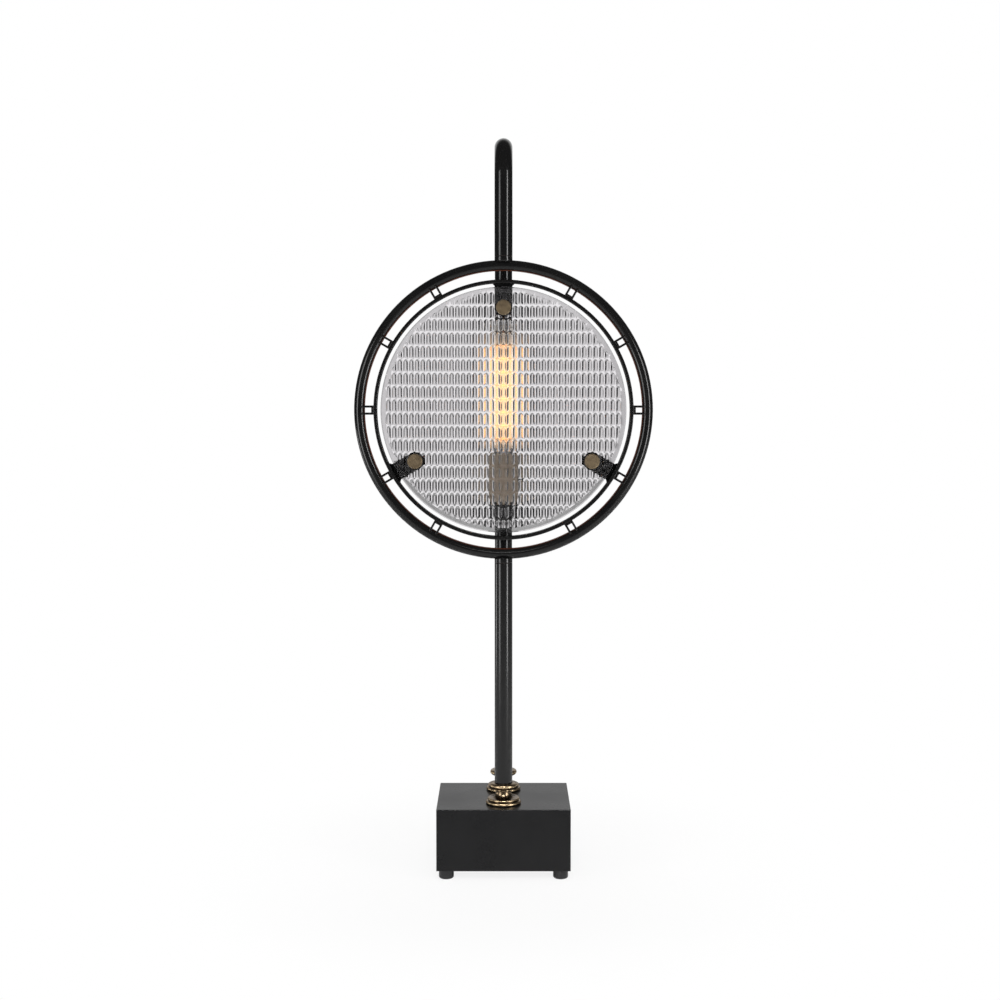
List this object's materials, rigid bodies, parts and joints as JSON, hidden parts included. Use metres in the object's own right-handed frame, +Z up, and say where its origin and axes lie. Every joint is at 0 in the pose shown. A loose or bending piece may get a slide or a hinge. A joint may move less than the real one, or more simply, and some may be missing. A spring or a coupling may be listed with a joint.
{
  "type": "accent lamp",
  "caption": "Tall table lamp with a round fluted glass lens in a double ring, held between a front post and a hairpin arch on a box base, with a tubular bulb behind the lens.",
  "frame": {"origin": "on the floor, under the middle of the base", "axes": "+Z up, -Y towards the front, where the lens faces, +X to the right seen from the front"},
  "size_m": [0.3682, 0.1334, 0.9143],
  "materials": {
    "satin_black_paint": "satin",
    "gloss_black_paint": "gloss",
    "dark_bronze": "polished, darkened",
    "lens_glass": "clear, fluted",
    "bulb_glass": "clear",
    "cast_iron": "rough",
    "zinc_steel": "zinc plated",
    "black_rubber": "matt",
    "gloss_black_plastic": "gloss",
    "brass": "plain",
    "moulded_core": "matt",
    "fibre": "matt",
    "wire_insulation": "satin",
    "filament": "lit"
  },
  "bodies": {
    "lamp": {"base_shell": "satin_black_paint", "base_cover": "satin_black_paint", "front_post": "gloss_black_paint", "arch_tube": "gloss_black_paint", "lower_saddle": "gloss_black_paint", "upper_saddle": "gloss_black_paint", "outer_ring": "gloss_black_paint", "inner_ring": "gloss_black_paint", "ring_spacers": "gloss_black_paint", "lens_tab_top": "gloss_black_paint", "lens_tab_left": "gloss_black_paint", "lens_tab_right": "gloss_black_paint", "socket_arm": "gloss_black_paint", "front_collar": "dark_bronze", "rear_collar": "dark_bronze", "socket_cap": "dark_bronze", "socket_shell": "dark_bronze", "lens": "lens_glass", "ballast": "cast_iron", "ballast_screws": "zinc_steel", "foot_screws": "zinc_steel", "nipple_washers": "zinc_steel", "nipple_nuts": "zinc_steel", "front_nipple": "zinc_steel", "rear_nipple": "zinc_steel", "tube_plugs": "zinc_steel", "lens_bolts": "zinc_steel", "arm_set_screw": "zinc_steel", "socket_nipple": "zinc_steel", "socket_lock_nut": "zinc_steel", "inlet_grommet": "black_rubber", "lens_gaskets": "black_rubber", "lens_bushes": "black_rubber", "foot_front_left": "gloss_black_plastic", "foot_front_right": "gloss_black_plastic", "foot_rear_left": "gloss_black_plastic", "foot_rear_right": "gloss_black_plastic", "screw_shell": "brass", "centre_contact": "brass", "terminal_screws": "brass", "socket_core": "moulded_core", "terminal_block": "moulded_core", "socket_sleeve": "fibre", "lead_wires": "wire_insulation"},
    "knob_washer_top": {"lens_washer_top": "black_rubber"},
    "knob_top": {"lens_knob_top": "dark_bronze"},
    "knob_washer_left": {"lens_washer_left": "black_rubber"},
    "knob_left": {"lens_knob_left": "dark_bronze"},
    "knob_washer_right": {"lens_washer_right": "black_rubber"},
    "knob_right": {"lens_knob_right": "dark_bronze"},
    "bulb_foot": {"bulb_insulator": "moulded_core"},
    "bulb": {"bulb_cap": "zinc_steel", "bulb_glass": "bulb_glass", "bulb_stem": "bulb_glass", "bulb_filaments": "filament"},
    "switch": {"switch_shaft": "brass", "switch_knob": "gloss_black_plastic"}
  },
  "joints": [
    {"name": "knob_top_travel", "type": "slide", "parent": "lamp", "child": "knob_washer_top", "axis": [0, -1, 0], "range_m": [0, 0.00625]},
    {"name": "knob_top_turn", "type": "hinge", "parent": "knob_washer_top", "child": "knob_top", "pos_m": [0, -0.0363, 0.7028], "axis": [0, -1, 0], "range_deg": [0, 2256]},
    {"name": "knob_left_travel", "type": "slide", "parent": "lamp", "child": "knob_washer_left", "axis": [0, -1, 0], "range_m": [0, 0.00625]},
    {"name": "knob_left_turn", "type": "hinge", "parent": "knob_washer_left", "child": "knob_left", "pos_m": [-0.10895, -0.0363, 0.5141], "axis": [0, -1, 0], "range_deg": [0, 2256]},
    {"name": "knob_right_travel", "type": "slide", "parent": "lamp", "child": "knob_washer_right", "axis": [0, -1, 0], "range_m": [0, 0.00625]},
    {"name": "knob_right_turn", "type": "hinge", "parent": "knob_washer_right", "child": "knob_right", "pos_m": [0.10895, -0.0363, 0.5141], "axis": [0, -1, 0], "range_deg": [0, 2256]},
    {"name": "bulb_rise", "type": "slide", "parent": "lamp", "child": "bulb_foot", "axis": [0, 0, 1], "range_m": [0, 0.012]},
    {"name": "bulb_turn", "type": "hinge", "parent": "bulb_foot", "child": "bulb", "pos_m": [0, 0, 0.5025], "axis": [0, 0, 1], "range_deg": [0, 1192]},
    {"name": "switch_turn", "type": "hinge", "parent": "lamp", "child": "switch", "pos_m": [0, 0, 0.489], "axis": [0.7071, 0.7071, 0], "continuous": true}
  ],
  "couplings": [
    {"joint": "knob_top_turn", "follows": "knob_top_travel", "rad_per_m": 6283.2},
    {"joint": "knob_left_turn", "follows": "knob_left_travel", "rad_per_m": 6283.2},
    {"joint": "knob_right_turn", "follows": "knob_right_travel", "rad_per_m": 6283.2},
    {"joint": "bulb_turn", "follows": "bulb_rise", "rad_per_m": 1730.9}
  ]
}
